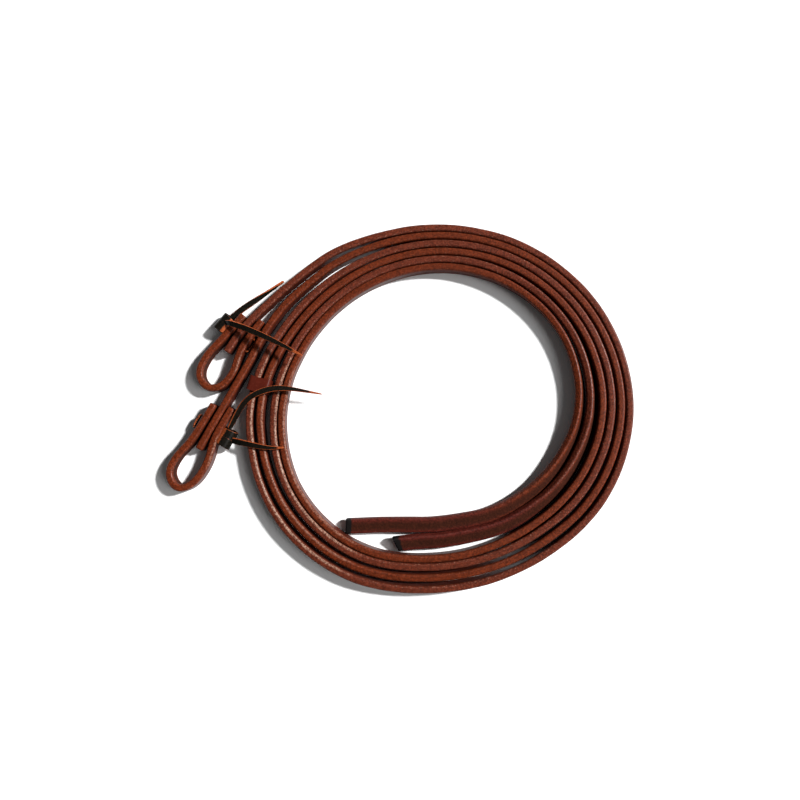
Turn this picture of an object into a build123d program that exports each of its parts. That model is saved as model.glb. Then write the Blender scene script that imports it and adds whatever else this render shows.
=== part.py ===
from build123d import *
import math
import os

# Pair of western split reins, stored as one coil that stands on the straps' edges.
# Millimetres, +Z up. Plan points are measured from the coil's own centre.

WIDTH = 12.7  # half-inch strap, which stands on edge
THICK = 5.6  # heavy harness leather
COIL_CENTRE = (34.73, -1.74)  # puts the object's box over the origin
UP = (0, 0, 1)

LACE_WIDTH = 5.0
LACE_THICK = 1.8
LACE_LEG_R = 1.9  # the lace rolls up where it goes through a hole
HOLE_R = 2.4
HOLE_PITCH = 13.0
HOLE_CUT = 40.0  # long enough for all three layers
FLAT_LENGTH = 16.4  # the lace's run between the holes
KNOT_TURN = (8.5, 6.4, 8.4)  # one turn of the knot: along the strap, out and up
KNOT_PITCH = 7.7
KNOT_ROUND = 1.6
KNOT_BITE = 0.1  # the turns reach into the lace's legs

KEEPER_WALL = 1.8
KEEPER_WIDTH = 12.0
KEEPER_ROUND = 2.2
KEEPER_INNER_ROUND = 0.5
SLIDE_GAP = 0.4  # room between the keeper band and the straps inside it
LIFT = KEEPER_WALL + SLIDE_GAP  # the straps ride over the band's lower wall
KEEPER_SIDE_GAP = 0.6
KEEPER_AT = 163.7  # degrees round the band's own turning centre
STITCHES = 4
STITCH_LENGTH = 1.9
STITCH_R = 0.35
STITCH_PITCH = 2.6
STITCH_PROUD = 0.1  # from the band's face to the thread's middle

# Radii of the straps' centrelines, from the outside of the coil in, every 30 degrees.
# Even places belong to the left rein and odd ones to the right rein.
STEP = 30
LAST_ANGLE = -780
BUNDLE = {
    0: (155.2, 148.2, 140.6, 133.4, 124.9, 115.8),
    330: (151.6, 143.4, 135.0, 127.0, 117.3, 106.4),
    300: (144.4, 135.4, 127.0, 119.8, 109.6, 98.2),
    270: (145.9, 136.8, 128.6, 122.0, 109.8, 98.6),
    240: (158.0, 148.8, 140.3, 133.6),
    210: (162.7, 153.2, 143.8, 137.0),
    180: (158.4, 149.9, 138.4, 131.4),
    150: (144.9, 136.9, 129.1, 122.6),
    120: (138.6, 131.2, 124.3, 118.0),
    90: (137.4, 130.7, 124.0, 117.4),
    60: (138.6, 131.9, 125.0, 118.0),
    30: (140.5, 133.5, 126.4, 118.6),
}
# The first lap lies outside those rows from the top of the coil to its right side.
FIRST_LAP = {120: (154.9, 147.0), 90: (150.5, 144.2), 60: (151.6, 145.3), 30: (154.0, 147.3)}

# Plan routes by hand: bit end to coil, coil to free end, and each loop from leg to leg.
LEFT_LEAD = [(-179.3, 46.3), (-170.3, 60.5), (-160.0, 73.0), (-141.8, 90.4), (-119.6, 110.2)]
RIGHT_LEAD = [
    (-200.6, -35.4), (-192.6, -20.6), (-183.0, -3.6), (-171.0, 17.6), (-158.6, 39.6),
    (-145.0, 68.0), (-123.6, 94.6),
]
LEFT_TAIL = [(4.0, -109.8), (-22.0, -110.8), (-37.0, -112.8)]
RIGHT_TAIL = [(-2.0, -97.6), (-32.0, -97.2), (-58.0, -97.6), (-78.0, -98.8)]
LEFT_LOOP = [
    (-165.6, 77.6), (-176.0, 65.6), (-186.8, 53.6), (-197.0, 42.8), (-203.4, 28.0), (-196.4, 15.6),
    (-183.2, 15.8), (-172.6, 29.0), (-168.8, 44.8), (-161.6, 57.2), (-149.8, 72.6),
]
RIGHT_LOOP = [
    (-189.0, 2.0), (-198.2, -14.0), (-207.8, -29.6), (-220.2, -42.0), (-226.4, -56.0), (-218.0, -69.4),
    (-203.8, -64.4), (-192.6, -46.6), (-189.0, -29.4), (-181.2, -14.4), (-173.4, -1.4),
]

# Where each lace goes through its three layers: a plan point, the way along the strap, how far the
# holes run to either side, and which side its knot is on.
LEFT_TIE = {"at": (-170.6, 60.9), "along": 49.0, "span": (-10.8, 14.2), "knot": -1, "flat_turn": 10}
RIGHT_TIE = {"at": (-191.4, -18.5), "along": 60.5, "span": (-12.8, 11.0), "knot": 1, "flat_turn": 0}
LEFT_LACE_TAILS = [
    [(-182.4, 71.0, 8.0), (-179.5, 70.9, 14.4), (-169.5, 67.6, 18.6), (-156.9, 62.5, 21.6),
     (-141.4, 55.3, 24.4), (-126.0, 47.4, 26.6), (-111.9, 39.7, 27.6)],
    [(-184.0, 71.4, 6.0), (-175.2, 77.2, 6.2), (-166.6, 84.8, 6.6), (-155.8, 91.6, 6.8),
     (-144.6, 99.2, 6.8), (-132.6, 107.6, 6.6)],
]
RIGHT_LACE_TAILS = [
    [(-176.0, -18.0, 8.0), (-171.0, -9.4, 10.6), (-165.0, -0.8, 14.8), (-157.6, 6.6, 18.6),
     (-148.0, 11.6, 19.2), (-136.0, 14.6, 18.8), (-123.0, 14.0, 17.8), (-110.0, 11.8, 16.4),
     (-97.4, 9.6, 14.8)],
    [(-178.0, -27.0, 7.4), (-169.0, -29.2, 11.0), (-158.6, -31.4, 14.6), (-148.0, -33.6, 15.4),
     (-138.0, -34.9, 15.2), (-128.4, -34.4, 14.8)],
]

# Between these bounds, in polar places round the coil, only the two straps in the keeper rise.
RISE_REGION = [
    (133.2, 150), (140.2, 165), (144.4, 180), (148.0, 194), (168.0, 194), (164.0, 180),
    (158.4, 165), (153.8, 157), (148.8, 150),
]
RISE_Y = (-30.0, -5.0, 42.0, 66.0)  # ramp up, level from and to, ramp down
RISE_SPAN = 300.0


def polar(radius, degrees):
    """A plan point from its place round the coil."""
    return radius * math.cos(math.radians(degrees)), radius * math.sin(math.radians(degrees))


def coil_points(place):
    """One rein's corners, clockwise from the top left, each outside the bend that it rounds."""
    outside = 1 / math.cos(math.radians(STEP / 2))
    points = []
    for angle in range(120, LAST_ANGLE - 1, -STEP):
        if angle > 0:
            radius = FIRST_LAP[angle][place]
        else:
            radius = BUNDLE[angle % 360][2 * (-angle // 360) + place]
        points.append(polar(radius * outside, angle))
    return points


def side(points, distance):
    """The route moved sideways: each corner goes to where its two moved runs meet."""
    vectors = [Vector(*p) for p in points]
    runs = [(b - a).normalized() for a, b in zip(vectors, vectors[1:])]
    normals = [Vector(-r.Y, r.X) for r in runs]
    moved = [vectors[0] + normals[0] * distance]
    for vertex, before, after in zip(vectors[1:-1], normals, normals[1:]):
        moved.append(vertex + (before + after) * (distance / (1 + before.dot(after))))
    moved.append(vectors[-1] + normals[-1] * distance)
    return moved


def corner_radii(points):
    """The largest arc that each corner's two runs leave room for."""
    vectors = [Vector(*p) for p in points]
    radii = []
    for a, b, c in zip(vectors, vectors[1:], vectors[2:]):
        half = math.radians((b - a).get_angle(c - b)) / 2
        radii.append(0.45 * min((b - a).length, (c - b).length) / math.tan(half))
    return radii


def plan(points):
    """The strap's outline from above: two parallel edges, closed at both ends."""
    radii = corner_radii(points)
    vectors = [Vector(*p) for p in points]
    edges = []
    for distance in (THICK / 2, -THICK / 2):
        corners = side(points, distance)
        own = []
        for a, b, c, radius in zip(vectors, vectors[1:], vectors[2:], radii):
            turn = (b - a).cross(c - b).Z
            own.append(radius - distance * math.copysign(1, turn))
        edges.append(FilletPolyline(*corners, radius=own))
    left, right = edges
    ends = [Line(left @ 0, right @ 0), Line(left @ 1, right @ 1)]
    return Face(Wire(left.edges() + right.edges() + [e.edge() for e in ends]))


def strap(points, height=WIDTH):
    """A strap on edge along the route, raised to its width."""
    return extrude(plan(points), height, dir=UP)


def rise():
    """The room under the two straps that ride over the keeper's lower wall."""
    low, flat, flat_end, high = RISE_Y
    outline = Polyline((0, low, 0), (0, flat, LIFT), (0, flat_end, LIFT), (0, high, 0), close=True)
    ridge = extrude(Face(outline.wire()), RISE_SPAN, dir=(-1, 0, 0))
    region = extrude(Face(Polyline(*[polar(*p) for p in RISE_REGION], close=True).wire()), LIFT, dir=UP)
    return ridge & region


def raised(solid, points):
    """The strap with its stretch inside the keeper lifted off the floor."""
    gap = rise()
    top = strap(points, WIDTH + LIFT) & (Pos(0, 0, WIDTH) * gap)
    return (solid - gap) + top


def punched(solid, tie):
    """The strap with the tie's two round holes."""
    for hole in tie_bars(tie, HOLE_R, HOLE_CUT):
        solid -= hole
    return solid


def tie_frame(tie):
    """A frame at the tie's middle: X along the strap, Y across its layers, Z up."""
    return Pos(*tie["at"], WIDTH / 2) * Rot(0, 0, tie["along"])


def tie_bars(tie, radius, length=None):
    """The two bars across the layers, at the holes; without a length they end at the outer faces."""
    low, high = tie["span"]
    if length:
        low, high = -length / 2, length / 2
    bars = []
    for x in (-HOLE_PITCH / 2, HOLE_PITCH / 2):
        bar = Rot(90, 0, 0) * Cylinder(radius, high - low)
        bars.append(tie_frame(tie) * Pos(x, -(low + high) / 2, 0) * bar)
    return bars


def lace(tie, tails):
    """One lace: through both holes, flat between them on one face, knotted on the other, with two tails."""
    low, high = tie["span"]
    flat = Rot(0, 0, tie["flat_turn"]) * Box(FLAT_LENGTH, LACE_THICK, LACE_WIDTH)
    knot_y, flat_y = (-high, -low) if tie["knot"] > 0 else (-low, -high)
    out = math.copysign(1, knot_y)
    solid = tie_frame(tie) * Pos(0, flat_y - out * LACE_THICK / 2, 0) * flat
    for bar in tie_bars(tie, LACE_LEG_R):
        solid += bar
    turn = fillet(Box(*KNOT_TURN).edges(), KNOT_ROUND)
    for x in (-KNOT_PITCH / 2, KNOT_PITCH / 2):
        solid += tie_frame(tie) * Pos(x, knot_y + out * (KNOT_TURN[1] / 2 - KNOT_BITE), 0) * turn
    for points in tails:
        path = FilletPolyline(*[Vector(*p) for p in points], radius=corner_radii(points))
        section = Plane(origin=path @ 0, x_dir=(path % 0).cross(Vector(*UP)), z_dir=path % 0)
        solid += sweep(section * Rectangle(LACE_WIDTH, LACE_THICK), path)
    return solid


def arc_centre(points, corner):
    """The centre and radius of the arc that rounds one corner of a route."""
    a, b, c = (Vector(*points[i]) for i in (corner - 1, corner, corner + 1))
    radius = corner_radii(points)[corner - 1]
    inward = ((a - b).normalized() + (c - b).normalized()).normalized()
    half = math.radians((b - a).get_angle(c - b)) / 2
    return b + inward * (radius / math.cos(half)), radius


def keeper_radii(outer, inner):
    """The band's inside and outside radii, from the arcs of the two straps that it holds."""
    inside = inner - THICK / 2 - KEEPER_SIDE_GAP
    outside = outer + THICK / 2 + KEEPER_SIDE_GAP
    return inside - KEEPER_WALL, inside, outside, outside + KEEPER_WALL


def keeper(pivot, radii):
    """The band round two straps: a rounded frame turned through its own width."""
    low, inside, outside, high = radii
    height = LIFT + WIDTH + SLIDE_GAP + KEEPER_WALL
    half = math.degrees(KEEPER_WIDTH / 2 / outside)
    angle = math.radians(KEEPER_AT - half)
    across = Vector(math.cos(angle), math.sin(angle), 0)
    plane = Plane(origin=pivot, x_dir=across, z_dir=across.cross(Vector(*UP)))
    body = Pos((low + high) / 2, height / 2) * RectangleRounded(high - low, height, KEEPER_ROUND)
    room = Pos((inside + outside) / 2, height / 2) * RectangleRounded(
        outside - inside, height - 2 * KEEPER_WALL, KEEPER_INNER_ROUND)
    return revolve(plane * (body - room), axis=Axis(pivot, UP), revolution_arc=2 * half)


def stitching(pivot, radii):
    """The seam across the band's outer wall."""
    radius = radii[3] + STITCH_PROUD
    row = []
    for i in range(STITCHES):
        angle = KEEPER_AT + math.degrees((i - (STITCHES - 1) / 2) * STITCH_PITCH / radius)
        stitch = Rot(90, 0, 0) * Cylinder(STITCH_R, STITCH_LENGTH)
        for end in (-STITCH_LENGTH / 2, STITCH_LENGTH / 2):
            stitch += Pos(0, end, 0) * Sphere(STITCH_R)
        row.append(Pos(*pivot) * Rot(0, 0, angle) * Pos(radius, 0, LIFT + WIDTH / 2) * stitch)
    return Compound(row)


left_route = LEFT_LEAD + coil_points(0) + LEFT_TAIL
right_route = RIGHT_LEAD + coil_points(1) + RIGHT_TAIL

# The keeper turns about the arc that its two straps share: corner 180 degrees, first lap.
corner_180 = (120 + 180) // STEP
pivot, outer_radius = arc_centre(left_route, len(LEFT_LEAD) + corner_180)
other, inner_radius = arc_centre(right_route, len(RIGHT_LEAD) + corner_180)
outward = Vector(1, 0, 0).rotate(Axis.Z, KEEPER_AT)
radii = keeper_radii(outer_radius, inner_radius + (other - pivot).dot(outward))

left_rein = raised(punched(strap(left_route), LEFT_TIE), left_route)
right_rein = raised(punched(strap(right_route), RIGHT_TIE), right_route)
left_loop = punched(strap(LEFT_LOOP), LEFT_TIE)
right_loop = punched(strap(RIGHT_LOOP), RIGHT_TIE)
left_lace = lace(LEFT_TIE, LEFT_LACE_TAILS)
right_lace = lace(RIGHT_TIE, RIGHT_LACE_TAILS)

os.makedirs("parts", exist_ok=True)
for name, shape in (
    ("left_rein", left_rein), ("right_rein", right_rein), ("left_water_loop", left_loop),
    ("right_water_loop", right_loop), ("left_tie_lace", left_lace), ("right_tie_lace", right_lace),
    ("keeper_band", keeper(pivot, radii)), ("keeper_stitching", stitching(pivot, radii)),
):
    export_step(Pos(*COIL_CENTRE, 0) * shape, f"parts/{name}.step")
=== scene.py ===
import math

import bmesh
import bpy
from mathutils import Matrix, Vector, noise


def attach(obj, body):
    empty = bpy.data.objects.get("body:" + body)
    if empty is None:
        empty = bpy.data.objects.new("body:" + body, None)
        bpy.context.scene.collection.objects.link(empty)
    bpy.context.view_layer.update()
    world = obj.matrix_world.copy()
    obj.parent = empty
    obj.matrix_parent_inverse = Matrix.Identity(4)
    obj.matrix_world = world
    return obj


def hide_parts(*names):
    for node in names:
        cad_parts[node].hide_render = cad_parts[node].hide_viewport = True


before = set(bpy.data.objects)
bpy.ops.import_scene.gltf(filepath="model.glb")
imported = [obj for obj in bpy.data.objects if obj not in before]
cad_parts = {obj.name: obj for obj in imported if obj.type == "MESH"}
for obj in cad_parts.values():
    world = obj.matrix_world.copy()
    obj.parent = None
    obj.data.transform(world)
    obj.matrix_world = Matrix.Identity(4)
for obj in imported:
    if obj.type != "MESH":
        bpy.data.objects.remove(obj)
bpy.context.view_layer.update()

# Metres throughout, and angles in degrees. Plan points are measured from the coil's own centre.
STRAP_WIDTH = 0.0127
STRAP_THICK = 0.0060
CORNER = 0.0017  # rounding of a strap's four long edges
END_ROUND = 0.0003
END_NARROWING = 0.35  # how much of an end's rounding its width takes
CUT_RUN = 0.009  # the length over which a free end's cut goes out of square
STRAP_GAP = 0.0016  # between one station and the next
FINE_GAP = 0.0011
COIL_CENTRE = Vector((0.03473, -0.00174, 0.0))
SHEEN_LIGHT_WAY = Vector((0.94, 0.34, 0.0))  # the key light's way in plan: a strap's grain corner gets a painted pale sheen where it faces this way
STEP = 30
LAST_ANGLE = -780

# Radii of the straps' centrelines, from the outside of the coil in, every 30 degrees.
# Even places belong to the left rein and odd ones to the right rein.
BUNDLE = {
    0: (0.1552, 0.1482, 0.1406, 0.1334, 0.1249, 0.1158),
    330: (0.1516, 0.1434, 0.1350, 0.1270, 0.1173, 0.1064),
    300: (0.1444, 0.1354, 0.1270, 0.1198, 0.1096, 0.0982),
    270: (0.1459, 0.1368, 0.1286, 0.1220, 0.1098, 0.0986),
    240: (0.1580, 0.1488, 0.1403, 0.1336),
    210: (0.1627, 0.1532, 0.1438, 0.1370),
    180: (0.1584, 0.1499, 0.1384, 0.1314),
    150: (0.1449, 0.1369, 0.1291, 0.1226),
    120: (0.1386, 0.1312, 0.1243, 0.1180),
    90: (0.1374, 0.1307, 0.1240, 0.1174),
    60: (0.1386, 0.1319, 0.1250, 0.1180),
    30: (0.1405, 0.1335, 0.1264, 0.1186),
}
# The first lap lies outside those rows from the top of the coil to its right side.
FIRST_LAP = {120: (0.1549, 0.1470), 90: (0.1505, 0.1442), 60: (0.1516, 0.1453), 30: (0.1540, 0.1473)}

LEFT_LEAD = [(-0.1793, 0.0463), (-0.1703, 0.0605), (-0.1600, 0.0730), (-0.1418, 0.0904), (-0.1196, 0.1102)]
RIGHT_LEAD = [
    (-0.2006, -0.0354), (-0.1926, -0.0206), (-0.1830, -0.0036), (-0.1710, 0.0176), (-0.1586, 0.0396),
    (-0.1450, 0.0680), (-0.1236, 0.0946),
]
LEFT_TAIL = [(0.0040, -0.1098), (-0.0220, -0.1108), (-0.0370, -0.1128)]
RIGHT_TAIL = [(-0.0020, -0.0976), (-0.0320, -0.0972), (-0.0580, -0.0976), (-0.0780, -0.0988)]
LEFT_LOOP = [
    (-0.1656, 0.0776), (-0.1760, 0.0656), (-0.1868, 0.0536), (-0.1970, 0.0428), (-0.2034, 0.0280),
    (-0.1964, 0.0156), (-0.1832, 0.0158), (-0.1726, 0.0290), (-0.1688, 0.0448), (-0.1616, 0.0572),
    (-0.1498, 0.0726),
]
RIGHT_LOOP = [
    (-0.1890, 0.0020), (-0.1982, -0.0140), (-0.2078, -0.0296), (-0.2202, -0.0420), (-0.2264, -0.0560),
    (-0.2180, -0.0694), (-0.2038, -0.0644), (-0.1926, -0.0466), (-0.1890, -0.0294), (-0.1812, -0.0144),
    (-0.1734, -0.0014),
]


def polar(radius, degrees):
    """A plan point from its place round the coil."""
    return radius * math.cos(math.radians(degrees)), radius * math.sin(math.radians(degrees))


def coil_points(place):
    """One rein's corners, clockwise from the top left, each outside the bend that it rounds."""
    outside = 1 / math.cos(math.radians(STEP / 2))
    points = []
    for angle in range(120, LAST_ANGLE - 1, -STEP):
        if angle > 0:
            radius = FIRST_LAP[angle][place]
        else:
            radius = BUNDLE[angle % 360][2 * (-angle // 360) + place]
        points.append(polar(radius * outside, angle))
    return points


# ---------------------------------------------------------------- routes and sections


def spline_line(points):
    """The line of a smooth NURBS spline that has these points as its control points."""
    curve = bpy.data.curves.new("route", "CURVE")
    curve.dimensions = "3D"
    curve.resolution_u = 24
    spline = curve.splines.new("NURBS")
    spline.points.add(len(points) - 1)
    for control, place in zip(spline.points, points):
        control.co = (*place, 1.0)
    spline.order_u = 3
    spline.use_endpoint_u = True
    carrier = bpy.data.objects.new("route", curve)
    mesh = bpy.data.meshes.new_from_object(carrier)
    line = [v.co.copy() for v in mesh.vertices]
    bpy.data.objects.remove(carrier)
    bpy.data.curves.remove(curve)
    bpy.data.meshes.remove(mesh)
    return line


def even(line, step):
    """The same line with stations an even distance apart, and its length."""
    reach = [0.0]
    for a, b in zip(line, line[1:]):
        reach.append(reach[-1] + (b - a).length)
    count = max(8, round(reach[-1] / step))
    stations, i = [], 0
    for k in range(count + 1):
        want = reach[-1] * k / count
        while i < len(reach) - 2 and reach[i + 1] < want:
            i += 1
        span = reach[i + 1] - reach[i]
        stations.append(line[i].lerp(line[i + 1], (want - reach[i]) / span if span else 0.0))
    return stations, reach[-1]


def smooth(low, high, value):
    """A soft step from 0 to 1 between two values."""
    t = min(1.0, max(0.0, (value - low) / (high - low)))
    return t * t * (3 - 2 * t)


def strap_section(width, thick, corner):
    """A closed section with rounded corners, as places across the thickness and along the width."""
    a, b = thick / 2 - corner, width / 2 - corner
    points = []
    for across, along, start in ((-a, b, 90), (-a, -b, 180), (a, -b, 270), (a, b, 0)):
        for k in range(5):
            turn = math.radians(start + 90 * k / 4)
            points.append((across + corner * math.cos(turn), along + corner * math.sin(turn)))
        if start in (90, 270):
            side = math.copysign(thick / 2, across)
            points += [(side, share * along) for share in (0.66, 0.33, 0, -0.33, -0.66)]
        else:
            edge = math.copysign(width / 2, along)
            points += [(share * across, edge) for share in (0.5, 0, -0.5)]
    return points


def strap_rings(last):
    """Each ring's station, size and move along the strap: both ends are rounded over."""
    start = [(0, 0.80, 0.0), (0, 0.95, END_ROUND)]
    end = [(last, 0.95, -END_ROUND), (last, 0.80, 0.0)]
    return start + [(i, 1.0, 0.0) for i in range(1, last)] + end


def tube_faces(rings, count):
    """Quads between neighbouring rings of so many points, and a cap on each end."""
    faces = []
    for r in range(rings - 1):
        for k in range(count):
            n = (k + 1) % count
            faces.append((r * count + k, r * count + n, (r + 1) * count + n, (r + 1) * count + k))
    faces.append(tuple(reversed(range(count))))
    faces.append(tuple((rings - 1) * count + k for k in range(count)))
    return faces


def strap_layers(section, alongs, sheen_shares):
    """What the leather needs to know at each point of a strap."""
    half_w, half_t = STRAP_WIDTH / 2, STRAP_THICK / 2
    layers = {"face_side": [], "end_near": [], "rim": [], "sheen": []}
    for s, sheen_share in zip(alongs, sheen_shares):
        for a, b in section:
            edge = smooth(half_w - 0.0042, half_w - 0.0016, abs(b))
            layers["face_side"].append((1 - edge) * math.copysign(1, a))
            layers["end_near"].append(s)
            layers["rim"].append(min(smooth(half_t - CORNER, half_t - CORNER / 2, abs(a)),
                                     smooth(half_w - CORNER, half_w - CORNER / 2, abs(b))))
            # painted sheen: a pale band on the grain-side corner, as strong as that side faces the key light
            layers["sheen"].append(sheen_share * smooth(0.0003, 0.0017, -a)
                                   * smooth(half_w - CORNER, half_w - CORNER * 0.6, abs(b)))
    return layers


def strap_corners(section, alongs):
    """The flat pattern's place of each corner of each side quad."""
    around, run = [0.0], 0.0
    for p, q in zip(section, section[1:] + section[:1]):
        run += math.hypot(q[0] - p[0], q[1] - p[1])
        around.append(run)
    corners = []
    for r in range(len(alongs) - 1):
        for k in range(len(section)):
            for ring, step in ((r, k), (r, k + 1), (r + 1, k + 1), (r + 1, k)):
                corners.append((alongs[ring], around[step]))
    return corners


def strap_mesh(name, stations, length, shape, slant=0.0):
    """A closed strap on edge through the stations.

    shape(i, s, station) gives its roll, lift, thickness scale and sideways move at a station, and slant is
    how far the cut at its last end is out of square.
    """
    section = strap_section(STRAP_WIDTH, STRAP_THICK, CORNER)
    half_w, half_t = STRAP_WIDTH / 2, STRAP_THICK / 2
    last = len(stations) - 1
    verts, alongs, sheen_shares = [], [], []
    for i, scale, push in strap_rings(last):
        tangent = (stations[min(last, i + 1)] - stations[max(0, i - 1)]).normalized()
        flat = Vector((tangent.x, tangent.y, 0)).normalized()
        outward = Vector((-flat.y, flat.x, 0))
        s = length * i / last
        roll, lift, thick_scale, sideways = shape(i, s, stations[i])
        cos, sin = math.cos(roll), math.sin(roll)
        centre = stations[i] + outward * sideways
        height = half_w * abs(cos) + half_t * abs(sin) + lift
        for a, b in section:
            a, b = a * scale * thick_scale, b * (1 - (1 - scale) * END_NARROWING)
            place = centre + outward * (a * cos - b * sin) + tangent * push
            place += flat * slant * b / half_w * smooth(length - CUT_RUN, length, s)
            verts.append((place.x, place.y, height + b * cos + a * sin))
        alongs.append(s)
        # how far the grain side faces the key light, which sets the painted sheen at this station
        sheen_shares.append(smooth(0.50, 0.88, -outward.dot(SHEEN_LIGHT_WAY)))
    faces = tube_faces(len(alongs), len(section))
    layers = strap_layers(section, alongs, sheen_shares)
    return new_piece(name, verts, faces, layers, 50, strap_corners(section, alongs))


def new_piece(name, verts, faces, layers, smooth_below, corners=()):
    """A mesh piece with its point attributes and, for a strap, its flat pattern."""
    mesh = bpy.data.meshes.new(name)
    mesh.from_pydata(verts, [], faces)
    if corners:
        pattern = mesh.uv_layers.new(name="strap")
        for loop, place in enumerate(corners):
            pattern.data[loop].uv = place
    for label, values in layers.items():
        mesh.attributes.new(label, "FLOAT", "POINT").data.foreach_set("value", values)
    piece = bpy.data.objects.new(name, mesh)
    bpy.context.scene.collection.objects.link(piece)
    tidy_faces(piece, smooth_below)
    return piece


def tidy_faces(piece, smooth_below):
    """Faces that all point outwards, smooth where they meet at less than this many degrees."""
    bpy.ops.object.select_all(action="DESELECT")
    piece.select_set(True)
    bpy.context.view_layer.objects.active = piece
    bpy.ops.object.mode_set(mode="EDIT")
    bpy.ops.mesh.select_all(action="SELECT")
    bpy.ops.mesh.normals_make_consistent(inside=False)
    bpy.ops.object.mode_set(mode="OBJECT")
    bpy.ops.object.shade_smooth_by_angle(angle=math.radians(smooth_below))


def wander(s, seed, scale):
    """A slow unevenness along a strap, from -1 to 1."""
    return noise.noise(Vector((s * scale, seed, 0.5 * seed)))


def plan_route(points):
    """Plan points on the floor, from the coil's centre to the object's own frame."""
    return [Vector((x, y, 0)) + COIL_CENTRE for x, y in points]


# Two straps rise over the keeper's lower wall: how far, where along it, and the radii that they lie between.
LIFT = 0.0022
RISE_Y = (-0.0300, -0.0050, 0.0420, 0.0660)
RISE_RADII = {
    150: (0.1332, 0.1488), 157: (0.1364, 0.1538), 165: (0.1402, 0.1584), 180: (0.1444, 0.1640),
    194: (0.1480, 0.1680),
}


def rise(place):
    """How far a strap rises at this plan place: only the two straps inside the keeper do."""
    x, y = place.x - COIL_CENTRE.x, place.y - COIL_CENTRE.y
    angle, radius = math.degrees(math.atan2(y, x)) % 360, math.hypot(x, y)
    marks = sorted(RISE_RADII)
    if not marks[0] <= angle <= marks[-1]:
        return 0.0
    for a, b in zip(marks, marks[1:]):
        if a <= angle <= b:
            t = (angle - a) / (b - a)
            low, high = (RISE_RADII[a][k] * (1 - t) + RISE_RADII[b][k] * t for k in (0, 1))
    if not low < radius < high:
        return 0.0
    return LIFT * smooth(RISE_Y[0], RISE_Y[1], y) * (1 - smooth(RISE_Y[2], RISE_Y[3], y))


def rein_shape(angles, seed, end_turn):
    """A rein leans at two stretches, rolls over towards its free end, and wanders a little all along."""
    def shape(i, s, place):
        swept = angles[i]
        roll = 14 * smooth(620, 700, swept) + end_turn * smooth(680, 800, swept)
        roll -= 9 * smooth(40, 80, swept) * (1 - smooth(130, 180, swept))
        roll -= 5 * smooth(400, 440, swept) * (1 - smooth(490, 540, swept))
        roll = math.radians(roll + 2 * wander(s, seed, 14))
        thick = 1.0 + 0.03 * wander(s, seed + 7, 60) + 0.02 * wander(s, seed + 9, 210)
        return roll, rise(place), thick, 0.00018 * wander(s, seed + 3, 45)
    return shape


def swept_angles(stations):
    """How far each station lies round the coil, in degrees clockwise from due right on the first lap."""
    angles, total, before = [], None, None
    for place in stations:
        now = math.degrees(math.atan2(place.y - COIL_CENTRE.y, place.x - COIL_CENTRE.x))
        if total is None:
            total = -now % 360 - 360
        else:
            total += (before - now + 180) % 360 - 180
        before = now
        angles.append(total)
    return angles


def declare(piece, node_name, body="reins"):
    """Puts the piece on the body that it rides on, and hides the CAD node that it stands for."""
    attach(piece, body)
    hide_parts(node_name)


def rein(name, route, seed, node_name, end_turn, slant):
    """One long strap, coiled as it lies, and its length."""
    stations, length = even(spline_line(plan_route(route)), STRAP_GAP)
    shape = rein_shape(swept_angles(stations), seed, end_turn)
    piece = strap_mesh(name, stations, length, shape, slant)
    middle = [Vector((p.x, p.y, STRAP_WIDTH / 2)) for p in stations[::4] + [stations[-1]]]
    declare(piece, node_name)
    return piece, length


left_route = LEFT_LEAD + coil_points(0) + LEFT_TAIL
right_route = RIGHT_LEAD + coil_points(1) + RIGHT_TAIL
left_rein, left_length = rein("left_rein_strap", left_route, 1.3, "left_rein", 50, 0.0018)
right_rein, right_length = rein("right_rein_strap", right_route, 4.7, "right_rein", 60, -0.0008)


def water_loop(name, route, seed, node_name):
    """A short strap folded round an open eye, its legs either side of the rein's end."""
    def shape(i, s, place):
        return math.radians(1.5) * wander(s, seed, 30), 0.0, 1 + 0.03 * wander(s, seed + 2, 90), 0.0

    stations, length = even(spline_line(plan_route(route)), FINE_GAP)
    piece = strap_mesh(name, stations, length, shape)
    declare(piece, node_name)
    return piece


left_loop = water_loop("left_loop_strap", LEFT_LOOP, 8.1, "left_water_loop")
right_loop = water_loop("right_loop_strap", RIGHT_LOOP, 12.9, "right_water_loop")

# ---------------------------------------------------------------- tie laces

LACE_THICK = 0.0015

# Each tie: its middle, the way along the strap, and where its three layers end on the knot's side and on the
# other side, where the lace lies flat.
LEFT_TIE = {"at": (-0.1706, 0.0609), "along": 49, "knot_y": 0.0108, "flat_y": -0.0142}
RIGHT_TIE = {"at": (-0.1914, -0.0185), "along": 60.5, "knot_y": -0.0110, "flat_y": 0.0128}

# One turn of a knot, from the strap's face out and over: how far away from the face and up from the floor.
KNOT_PATH = [
    (-0.0012, 0.0058), (0.0018, 0.0018), (0.0076, 0.0020), (0.0104, 0.0068), (0.0086, 0.0120),
    (0.0028, 0.0132), (-0.0008, 0.0108),
]
# The flat stretch from hole to hole: how far along the strap and away from its face.
FLAT_PATH = [
    (-0.0062, -0.0020), (-0.0062, 0.0014), (-0.0020, 0.0017), (0.0020, 0.0017), (0.0062, 0.0014),
    (0.0062, -0.0020),
]
FLAT_HEIGHT = 0.0066

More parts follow.
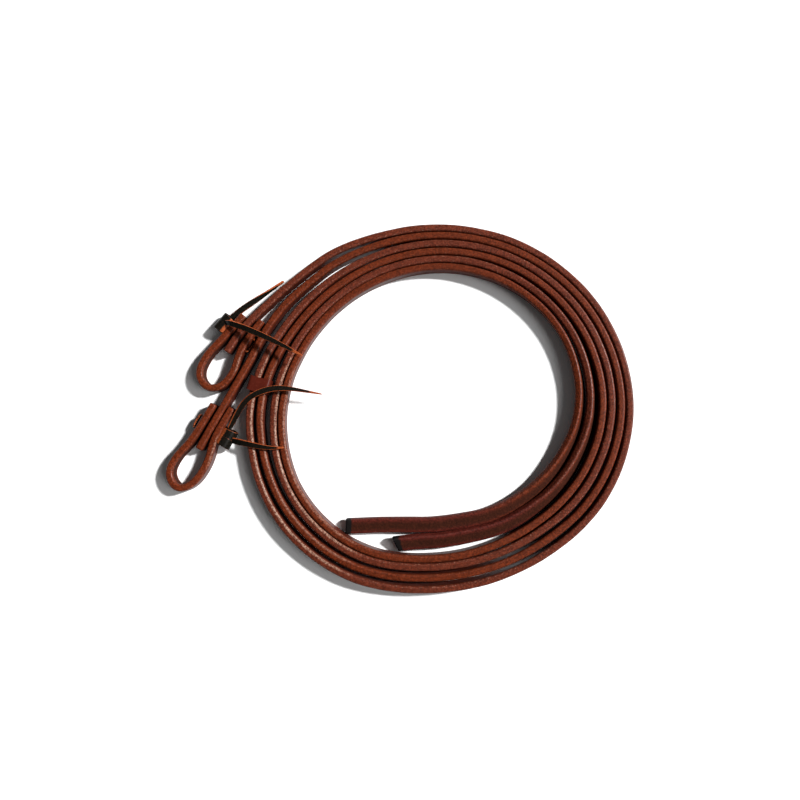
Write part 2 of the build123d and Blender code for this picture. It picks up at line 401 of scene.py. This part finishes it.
LEFT_OVER_TAIL = [
    (-0.1824, 0.0710, 0.0080), (-0.1795, 0.0709, 0.0144), (-0.1695, 0.0676, 0.0186),
    (-0.1569, 0.0625, 0.0216), (-0.1414, 0.0553, 0.0244), (-0.1260, 0.0474, 0.0266),
    (-0.1119, 0.0397, 0.0276),
]
LEFT_ALONG_TAIL = [
    (-0.1840, 0.0714, 0.0060), (-0.1752, 0.0772, 0.0062), (-0.1666, 0.0848, 0.0066),
    (-0.1558, 0.0916, 0.0068), (-0.1446, 0.0992, 0.0068), (-0.1326, 0.1076, 0.0066),
]
RIGHT_OVER_TAIL = [
    (-0.1760, -0.0180, 0.0080), (-0.1710, -0.0094, 0.0106), (-0.1650, -0.0008, 0.0148),
    (-0.1576, 0.0066, 0.0186), (-0.1480, 0.0116, 0.0192), (-0.1360, 0.0146, 0.0188),
    (-0.1230, 0.0140, 0.0178), (-0.1100, 0.0118, 0.0164), (-0.0974, 0.0096, 0.0148),
]
RIGHT_ACROSS_TAIL = [
    (-0.1780, -0.0270, 0.0074), (-0.1690, -0.0292, 0.0110), (-0.1586, -0.0314, 0.0146),
    (-0.1480, -0.0336, 0.0154), (-0.1380, -0.0349, 0.0152), (-0.1284, -0.0344, 0.0148),
]


def at_share(values, share):
    """A value that runs evenly through the list as share goes from 0 to 1."""
    spot = min(share, 0.9999) * (len(values) - 1)
    k = int(spot)
    t = spot - k
    return values[k] * (1 - t) + values[k + 1] * t


def lace_section(half_width, half_thick):
    """Points of a lace's section, each with how raw its leather is there: its cut edges are undyed."""
    inner, round_w, round_t = half_width - 0.00045, half_width - 0.0002, half_thick * 0.6
    top = [
        (half_width, round_t, 1), (round_w, half_thick, 1), (inner, half_thick, 0),
        (0, half_thick * 1.04, 0), (-inner, half_thick, 0), (-round_w, half_thick, 1),
        (-half_width, round_t, 1),
    ]
    return top + [(-a, -b, raw) for a, b, raw in top]


def lace_strip(name, points, widths, turns, across=None, rawness=1.0):
    """A flat lace through the points, with its stations and length.

    Its widths and the turns of its face are given from end to end, and across is the way that its width
    runs where that stays the same.
    """
    stations, length = even(spline_line([Vector(p) for p in points]), FINE_GAP)
    last = len(stations) - 1
    verts, raws, tips = [], [], []
    for i, place in enumerate(stations):
        share = i / last
        tangent = (stations[min(last, i + 1)] - stations[max(0, i - 1)]).normalized()
        side = Vector(across) if across else tangent.cross(Vector((0, 0, 1))).normalized()
        normal = side.cross(tangent).normalized()
        turn = math.radians(at_share(turns, share))
        cos, sin = math.cos(turn), math.sin(turn)
        closing = min(1.0, 0.72 + 0.28 * min(i, last - i))
        section = lace_section(at_share(widths, share) / 2 * closing, LACE_THICK / 2 * closing)
        for a, b, raw in section:
            verts.append(tuple(place + side * (a * cos - b * sin) + normal * (a * sin + b * cos)))
            raws.append(float(raw * rawness))
            tips.append(smooth(0.80, 0.96, share))
    faces = tube_faces(last + 1, len(section))
    piece = new_piece(name, verts, faces, {"raw_edge": raws, "raw_tip": tips}, 60)
    return piece, stations, length


def tie_place(tie, x, y, z):
    """A place at a tie: along the strap, across its layers, and up from the floor."""
    turn = math.radians(tie["along"])
    across = Vector((x * math.cos(turn) - y * math.sin(turn), x * math.sin(turn) + y * math.cos(turn), z))
    return tuple(Vector((*tie["at"], 0)) + COIL_CENTRE + across)


def knot_turns(side, tie, rawness):
    """The two turns of lace that make the knot, next to each other and leaning together."""
    turn = math.radians(tie["along"])
    along = (math.cos(turn), math.sin(turn), 0)
    out = math.copysign(1, tie["knot_y"])
    turns = []
    for number, x in enumerate((-0.0046, 0.0046)):
        wide = 0.0084 - 0.0008 * number
        lean = 0.0007 * (1 - 2 * number)
        points = [tie_place(tie, x + lean * k / 3, tie["knot_y"] + out * away, up - 0.0003 * number)
                  for k, (away, up) in enumerate(KNOT_PATH)]
        widths = [wide * 0.85, wide, wide, wide * 0.9]
        turns.append(lace_strip(f"{side}_knot_turn_{number + 1}", points, widths, [0, 0], along, rawness)[0])
    return turns


def flat_stretch(side, tie):
    """The lace's run from hole to hole on the face away from the knot."""
    out = math.copysign(1, tie["flat_y"])
    points = [tie_place(tie, x, tie["flat_y"] + out * away, FLAT_HEIGHT) for x, away in FLAT_PATH]
    return lace_strip(f"{side}_flat_stretch", points, [0.0046, 0.0050, 0.0046], [90, 90], rawness=0.75)[0]


def tie_lace(side, tie, tails, node_name, rawness):
    """The lace of one tie: two knot turns, a flat stretch and two tails, each with its route and widths."""
    pieces = knot_turns(side, tie, rawness) + [flat_stretch(side, tie)]
    for piece in pieces:
        declare(piece, node_name)
    for label, route, widths, turns in tails:
        points = [Vector(p) + COIL_CENTRE for p in route]
        tail, stations, length = lace_strip(f"{side}_{label}", points, widths, turns)
        declare(tail, node_name)
        pieces.append(tail)
    return pieces


left_lace = tie_lace("left", LEFT_TIE, [
    ("over_tail", LEFT_OVER_TAIL, [0.0040, 0.0048, 0.0050, 0.0048, 0.0042, 0.0032, 0.0012],
     [-30, -20, -8, 0, 6, 0]),
    ("along_tail", LEFT_ALONG_TAIL, [0.0050, 0.0052, 0.0050, 0.0036, 0.0024], [0, -10, -20, -65, -80]),
], "left_tie_lace", 0.60)
right_lace = tie_lace("right", RIGHT_TIE, [
    ("over_tail", RIGHT_OVER_TAIL,
     [0.0044, 0.0052, 0.0050, 0.0046, 0.0050, 0.0046, 0.0034, 0.0022, 0.0010],
     [-55, -50, -25, -5, 5, 10, 0]),
    ("across_tail", RIGHT_ACROSS_TAIL, [0.0046, 0.0052, 0.0046, 0.0034, 0.0012], [-25, -15, -5, 0]),
], "right_tie_lace", 0.72)

# ---------------------------------------------------------------- keeper band

# The band lies between two radii about the centre that it slides round, at one angle.
KEEPER_TURN = Vector((-0.0117777, -0.0143911, 0))
KEEPER_ANGLE = 163.7
KEEPER_RADII = (0.09869, 0.11739)
KEEPER_TOP = 0.0171
KEEPER_ALONG = 0.0120
KEEPER_WALL = 0.0013
KEEPER_CORNER = 0.0030
KEEPER_HALF = 0.0093  # from its middle to its side walls
KEEPER_WAVE = 0.0004
KEEPER_SAG = 0.0002
KEEPER_DROOP = 0.0001


def select_by(piece, parts, chosen, mode):
    """Selects the faces or edges of a piece in edit mode that a test picks."""
    edit = bmesh.from_edit_mesh(piece.data)
    bpy.ops.mesh.select_all(action="DESELECT")
    bpy.ops.mesh.select_mode(type=mode)
    for part in getattr(edit, parts):
        part.select_set(bool(chosen(part)))
    bmesh.update_edit_mesh(piece.data)


def open_end(face):
    """Whether the face closes one of the ring's open ends."""
    return abs(face.normal.y) > 0.9


def ring_corner(edge):
    """Whether the edge is one of the ring's four corners."""
    return abs((edge.verts[0].co - edge.verts[1].co).normalized().y) > 0.9


def keeper_band():
    """The loose band round two straps: a thin strap closed into a ring, its top sagging a little."""
    turn = math.radians(KEEPER_ANGLE)
    radial = Vector((math.cos(turn), math.sin(turn), 0))
    middle = KEEPER_TURN + radial * sum(KEEPER_RADII) / 2 + Vector((0, 0, KEEPER_TOP / 2))
    wide = KEEPER_RADII[1] - KEEPER_RADII[0]
    bpy.ops.object.select_all(action="DESELECT")
    bpy.ops.mesh.primitive_cube_add(size=1, location=middle, rotation=(0, 0, turn))
    band = bpy.context.active_object
    band.name = "keeper_strap"
    band.scale = (wide, KEEPER_ALONG, KEEPER_TOP)
    bpy.ops.object.transform_apply(location=False, rotation=False, scale=True)
    bpy.ops.object.mode_set(mode="EDIT")
    select_by(band, "faces", open_end, "FACE")
    bpy.ops.mesh.delete(type="FACE")
    select_by(band, "edges", ring_corner, "EDGE")
    bpy.ops.mesh.bevel(offset=KEEPER_CORNER, segments=5, affect="EDGES")
    bpy.ops.mesh.select_all(action="SELECT")
    bpy.ops.mesh.subdivide(number_cuts=3)
    bpy.ops.mesh.remove_doubles(threshold=0.00001)
    bpy.ops.mesh.normals_make_consistent(inside=False)
    bpy.ops.object.mode_set(mode="OBJECT")
    for corner in band.data.vertices:
        x, y, z = corner.co
        if z > KEEPER_TOP / 2 - 0.0005:
            corner.co.z -= KEEPER_SAG * math.cos(x / KEEPER_HALF * math.pi / 2) ** 2
            corner.co.z -= KEEPER_DROOP * (y / (KEEPER_ALONG / 2)) ** 2
        corner.co.y += KEEPER_WAVE * math.sin(x * 330 + 0.6)
    for kind, settings in (
        ("SOLIDIFY", {"thickness": KEEPER_WALL, "offset": -1}),
        ("BEVEL", {"width": 0.0004, "segments": 2, "limit_method": "ANGLE",
                   "angle_limit": math.radians(50)}),
        ("SUBSURF", {"levels": 1, "render_levels": 1}),
    ):
        modifier = band.modifiers.new(kind.lower(), kind)
        for key, value in settings.items():
            setattr(modifier, key, value)
        bpy.ops.object.modifier_apply(modifier=modifier.name)
    bpy.ops.object.transform_apply(location=True, rotation=True, scale=True)
    bpy.ops.object.shade_smooth_by_angle(angle=math.radians(50))
    declare(band, "keeper_band", "keeper")
    return band


keeper = keeper_band()

# ---------------------------------------------------------------- materials


class Value:
    """A socket with the arithmetic that the finishes use."""

    def __init__(self, tree, socket):
        self.tree, self.socket = tree, socket

    def _math(self, operation, *values):
        return node(self.tree, "ShaderNodeMath", {"operation": operation}, dict(enumerate(values)))

    def __add__(self, other):
        return self._math("ADD", self, other)

    def __sub__(self, other):
        return self._math("SUBTRACT", self, other)

    def __rsub__(self, other):
        return self._math("SUBTRACT", other, self)

    def __mul__(self, other):
        return self._math("MULTIPLY", self, other)

    __radd__, __rmul__ = __add__, __mul__

    def clamp(self):
        return node(self.tree, "ShaderNodeClamp", {}, {"Value": self})

    def between(self, low, high):
        """A soft step from 0 to 1 between two values."""
        return node(self.tree, "ShaderNodeMapRange", {"interpolation_type": "SMOOTHSTEP"},
                    {"Value": self, "From Min": low, "From Max": high})


def node(tree, kind, settings, inputs, output=0):
    """Any node: its type, its settings, and the values or links of its sockets."""
    made = tree.nodes.new(kind)
    for key, value in settings.items():
        setattr(made, key, value)
    for key, value in inputs.items():
        if isinstance(value, Value):
            tree.links.new(value.socket, made.inputs[key])
        else:
            made.inputs[key].default_value = value
    return Value(tree, made.outputs[output])


def blank_material(name):
    """A new material with its tree and its shader."""
    material = bpy.data.materials.new(name)
    material.use_nodes = True
    tree = material.node_tree
    return material, tree, tree.nodes["Principled BSDF"]


def feed(tree, shader, links, settings):
    """Links what varies over the surface to the shader's sockets, and sets what doesn't on them."""
    for key, value in links.items():
        tree.links.new(value.socket, shader.inputs[key])
    for key, value in settings.items():
        shader.inputs[key].default_value = value


def mix(tree, factor, a, b):
    """From colour a to colour b."""
    a, b = (colour if isinstance(colour, Value) else (*colour, 1.0) for colour in (a, b))
    return node(tree, "ShaderNodeMix", {"data_type": "RGBA"}, {0: factor, 6: a, 7: b}, 2)


def shade(colour, by):
    """The colour made lighter or darker."""
    return tuple(part * by for part in colour)


def coordinates(tree):
    return node(tree, "ShaderNodeTexCoord", {}, {}, "Object")


def attribute(tree, name):
    return node(tree, "ShaderNodeAttribute", {"attribute_name": name}, {}, "Fac")


def speckle(tree, place, scale, detail, rough):
    """Noise at so many spots to the metre."""
    inputs = {"Vector": place, "Scale": scale, "Detail": detail, "Roughness": rough}
    return node(tree, "ShaderNodeTexNoise", {}, inputs)


def spots(tree, place, scale, output):
    return node(tree, "ShaderNodeTexVoronoi", {}, {"Vector": place, "Scale": scale}, output)


def bumped(tree, height, strength, distance):
    return node(tree, "ShaderNodeBump", {}, {"Height": height, "Strength": strength, "Distance": distance})


EDGE_DULL = (0.100, 0.0195, 0.0088)
EDGE_ORANGE = (0.104, 0.0175, 0.0050)
GRAIN = (0.042, 0.0085, 0.005)
FLESH = (0.021, 0.0050, 0.0023)
# Colour of the pale fibre specks. At the rounded corners the specks are brighter and act as a painted
# highlight.
PALE_SPECK_GLINT = (0.55, 0.38, 0.28)
# the dark and light colours of the painted sheen on grain corners that face the key light
SHEEN_DARK, SHEEN_PALE = (0.15, 0.075, 0.05), (0.33, 0.21, 0.15)
END_DARK, END_RED = (0.030, 0.0050, 0.0036), (0.086, 0.0125, 0.0092)
BLACK_DYE = (0.006, 0.005, 0.005)
DYED_END = 0.005


def cut_edge(tree, place, colour, specks_and_sheen, fibres, nap, mottle):
    """The strap's raw edges: brushed fibres, dark pits, pale specks that are brighter at the rounded corners
    as a painted highlight, and a painted sheen on the grain corner where it faces the key light.
    """
    broad = speckle(tree, place, 30, 2.0, 0.5)
    edge = mix(tree, fibres.between(0.38, 0.58), shade(colour, 0.55), colour)
    edge = mix(tree, fibres.between(0.56, 0.68), edge, shade(colour, 1.35))
    edge = mix(tree, (1 - nap.between(0.30, 0.62)) * 0.45, edge, shade(colour, 0.35))
    edge = mix(tree, nap.between(0.60, 0.80) * 0.5, edge, shade(colour, 1.8))
    edge = mix(tree, mottle.between(0.45, 0.75) * 0.3, edge, shade(colour, 1.35))
    edge = mix(tree, broad.between(0.5, 0.8) * 0.3, edge, shade(colour, 0.7))
    specks = spots(tree, place, 900.0, "Distance")
    # pale fibre specks everywhere on the edge, much stronger at the rounded corners, where they are a
    # painted highlight
    pale = (1 - specks.between(0.10, 0.38)) * fibres.between(0.46, 0.60)
    edge = mix(tree, (pale * (0.2 + attribute(tree, "rim")) * specks_and_sheen).clamp(), edge, PALE_SPECK_GLINT)
    # painted sheen: the grain corner is painted pale where it faces the key light, broken up by noise
    sheen_mask = (attribute(tree, "sheen") + (mottle - 0.5) * 0.9).between(0.35, 0.9)
    sheen_mask = (sheen_mask * nap.between(0.22, 0.55) * specks_and_sheen * 1.5).clamp()
    return mix(tree, sheen_mask, edge, mix(tree, fibres.between(0.4, 0.6), SHEEN_DARK, SHEEN_PALE))


def leather(name, edge_colour, specks_and_sheen, gloss, length=None):
    """Strap leather: raw edges, a smooth grain side towards the coil's centre and a brushed flesh side.

    speck is how strong the edges' pale specks and their painted corner highlight and sheen are, and gloss
    how waxed the corners are. A rein's length places its free end, which is darker all round and dyed black
    at the cut.
    """
    material, tree, shader = blank_material(name)
    place = coordinates(tree)
    side = attribute(tree, "face_side")
    grain_side, flesh_side = (0 - side).clamp(), side.clamp()
    fibres = speckle(tree, place, 560, 3.0, 0.9)
    nap = spots(tree, place, 1250.0, "Color")
    mottle = speckle(tree, place, 140, 3.0, 0.55)
    edge = cut_edge(tree, place, edge_colour, specks_and_sheen, fibres, nap, mottle)
    if length:
        along = attribute(tree, "end_near")
        near_end = along.between(length - 0.17, length - 0.09) * 0.85
        edge = mix(tree, near_end, edge, mix(tree, fibres.between(0.38, 0.62), END_DARK, END_RED))
    grain = mix(tree, mottle.between(0.3, 0.7), GRAIN, shade(GRAIN, 1.35))
    flesh = mix(tree, fibres.between(0.35, 0.65), FLESH, shade(FLESH, 1.6))
    flesh = mix(tree, nap.between(0.55, 0.80) * 0.6, flesh, shade(FLESH, 2.6))
    colour = mix(tree, flesh_side, mix(tree, grain_side, edge, grain), flesh)
    if length:
        ragged = along + (speckle(tree, place, 260, 2.0, 0.5) - 0.5) * 0.004
        dyed_from = length - DYED_END
        colour = mix(tree, ragged.between(dyed_from - 0.0006, dyed_from + 0.0006), colour, BLACK_DYE)
    height = fibres * (1 - grain_side * 0.75) + mottle * 0.8
    feed(tree, shader, {
        "Base Color": colour,
        "Roughness": 0.55 - grain_side * 0.22 + flesh_side * 0.3 + (fibres - 0.5) * 0.3,
        "Coat Weight": attribute(tree, "rim") * (0.35 + 0.65 * nap.between(0.35, 0.65)) * gloss,
        "Normal": bumped(tree, height, 0.7, 0.0004),
    }, {"Coat Roughness": 0.38, "Specular IOR Level": 0.07})
    return material


def lace_leather():
    """Near-black oiled lace, its cut edges and tapered tips left raw and orange."""
    material, tree, shader = blank_material("black tie lace")
    place = coordinates(tree)
    fibres = speckle(tree, place, 900, 4.0, 0.65)
    pores = speckle(tree, place, 2400, 2.0, 0.6)
    face = mix(tree, fibres.between(0.35, 0.7), (0.003, 0.0025, 0.002), (0.009, 0.007, 0.0045))
    orange = mix(tree, fibres.between(0.3, 0.65), (0.20, 0.032, 0.009), (0.42, 0.095, 0.026))
    bare = (attribute(tree, "raw_edge") + (fibres - 0.5) * 1.1).between(0.62, 0.92)
    worn = (attribute(tree, "raw_tip") + (fibres - 0.5) * 0.5).between(0.45, 0.8)
    feed(tree, shader, {
        "Base Color": mix(tree, (bare + worn * 0.7).clamp(), face, orange),
        "Roughness": 0.30 + bare * 0.3 + (fibres - 0.5) * 0.25,
        "Normal": bumped(tree, fibres + pores * 0.4, 0.4, 0.0002),
    }, {"Specular IOR Level": 0.14})
    return material


def keeper_leather():
    """Smooth oxblood strap with a faint grain and a slightly burnished surface."""
    material, tree, shader = blank_material("keeper leather")
    place = coordinates(tree)
    grain = speckle(tree, place, 700, 3.0, 0.55)
    clouds = speckle(tree, place, 90, 2.0, 0.5)
    colour = mix(tree, clouds.between(0.3, 0.7), (0.052, 0.0062, 0.0026), (0.070, 0.0085, 0.0038))
    feed(tree, shader, {
        "Base Color": mix(tree, grain.between(0.55, 0.8) * 0.5, colour, (0.13, 0.026, 0.013)),
        "Roughness": 0.34 + (grain - 0.5) * 0.2,
        "Normal": bumped(tree, grain, 0.25, 0.0002),
    }, {"Specular IOR Level": 0.25})
    return material


def thread():
    """Waxed brown thread with a twist."""
    material, tree, shader = blank_material("waxed thread")
    twist = node(tree, "ShaderNodeTexWave", {"bands_direction": "DIAGONAL"},
                 {"Vector": coordinates(tree), "Scale": 900.0, "Distortion": 0.6}, "Fac")
    feed(tree, shader, {
        "Base Color": mix(tree, twist, (0.05, 0.020, 0.010), (0.17, 0.085, 0.045)),
        "Normal": bumped(tree, twist, 0.5, 0.0002),
    }, {"Roughness": 0.55})
    return material


for strap, finish in (
    (left_rein, leather("left rein leather", EDGE_DULL, 0.5, 0.4, left_length)),
    (right_rein, leather("right rein leather", EDGE_ORANGE, 0.2, 0.3, right_length)),
    (left_loop, leather("left loop leather", EDGE_ORANGE, 0.3, 0.35)),
    (right_loop, leather("right loop leather", EDGE_ORANGE, 0.3, 0.35)),
):
    strap.data.materials.append(finish)
black_lace = lace_leather()
for piece in left_lace + right_lace:
    piece.data.materials.append(black_lace)
keeper.data.materials.append(keeper_leather())
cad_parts["keeper_stitching"].material_slots[0].material = thread()

# ---------------------------------------------------------------- light, floor and camera

AMBIENT = 0.07
LENS = 29.77
EYE = Vector((-0.0124, -0.0472, 0.5556))  # from the coil's centre
AIM = Vector((-0.0330, 0.00475, 0.0127))


def floor():
    """A plain white floor."""
    bpy.ops.object.select_all(action="DESELECT")
    bpy.ops.mesh.primitive_plane_add(size=8, location=(0, 0, 0))
    plane = bpy.context.active_object
    plane.name = "studio_floor"
    material, tree, shader = blank_material("studio white")
    feed(tree, shader, {}, {"Base Color": (0.92, 0.92, 0.92, 1), "Roughness": 0.8})
    plane.data.materials.append(material)


def sun(name, place, spread, power):
    """A source far off in the direction of this place, so many degrees across."""
    data = bpy.data.lights.new(name, "SUN")
    data.angle = math.radians(spread)
    data.energy = power
    lamp = bpy.data.objects.new(name, data)
    lamp.location = place
    lamp.rotation_mode = "QUATERNION"
    lamp.rotation_quaternion = Vector(place).to_track_quat("Z", "Y")
    bpy.context.scene.collection.objects.link(lamp)


def studio():
    """White surroundings that add little light of their own, a key from the right and a weaker fill."""
    world = bpy.data.worlds.new("studio")
    world.use_nodes = True
    tree = world.node_tree
    background = tree.nodes["Background"]
    seen = node(tree, "ShaderNodeLightPath", {}, {}, "Is Camera Ray")
    feed(tree, background, {"Strength": AMBIENT + seen * (1 - AMBIENT)}, {"Color": (1, 1, 1, 1)})
    bpy.context.scene.world = world
    sun("key", (1.00, 0.36, 0.86), 7, 7.0)
    sun("fill", (1.00, -0.35, 1.00), 30, 0.9)
    bpy.context.scene.view_settings.view_transform = "Standard"


def camera():
    """The eye above the coil, its upper side along the floor's Y."""
    data = bpy.data.cameras.new("camera")
    data.sensor_width = 36
    data.lens = LENS
    data.clip_start = 0.01
    eye = bpy.data.objects.new("camera", data)
    eye.location = COIL_CENTRE + EYE
    backward = (EYE - AIM).normalized()
    right = Vector((0, 1, 0)).cross(backward).normalized()
    eye.rotation_euler = Matrix((right, backward.cross(right), backward)).transposed().to_euler()
    bpy.context.scene.collection.objects.link(eye)
    bpy.context.scene.camera = eye


floor()
studio()
camera()
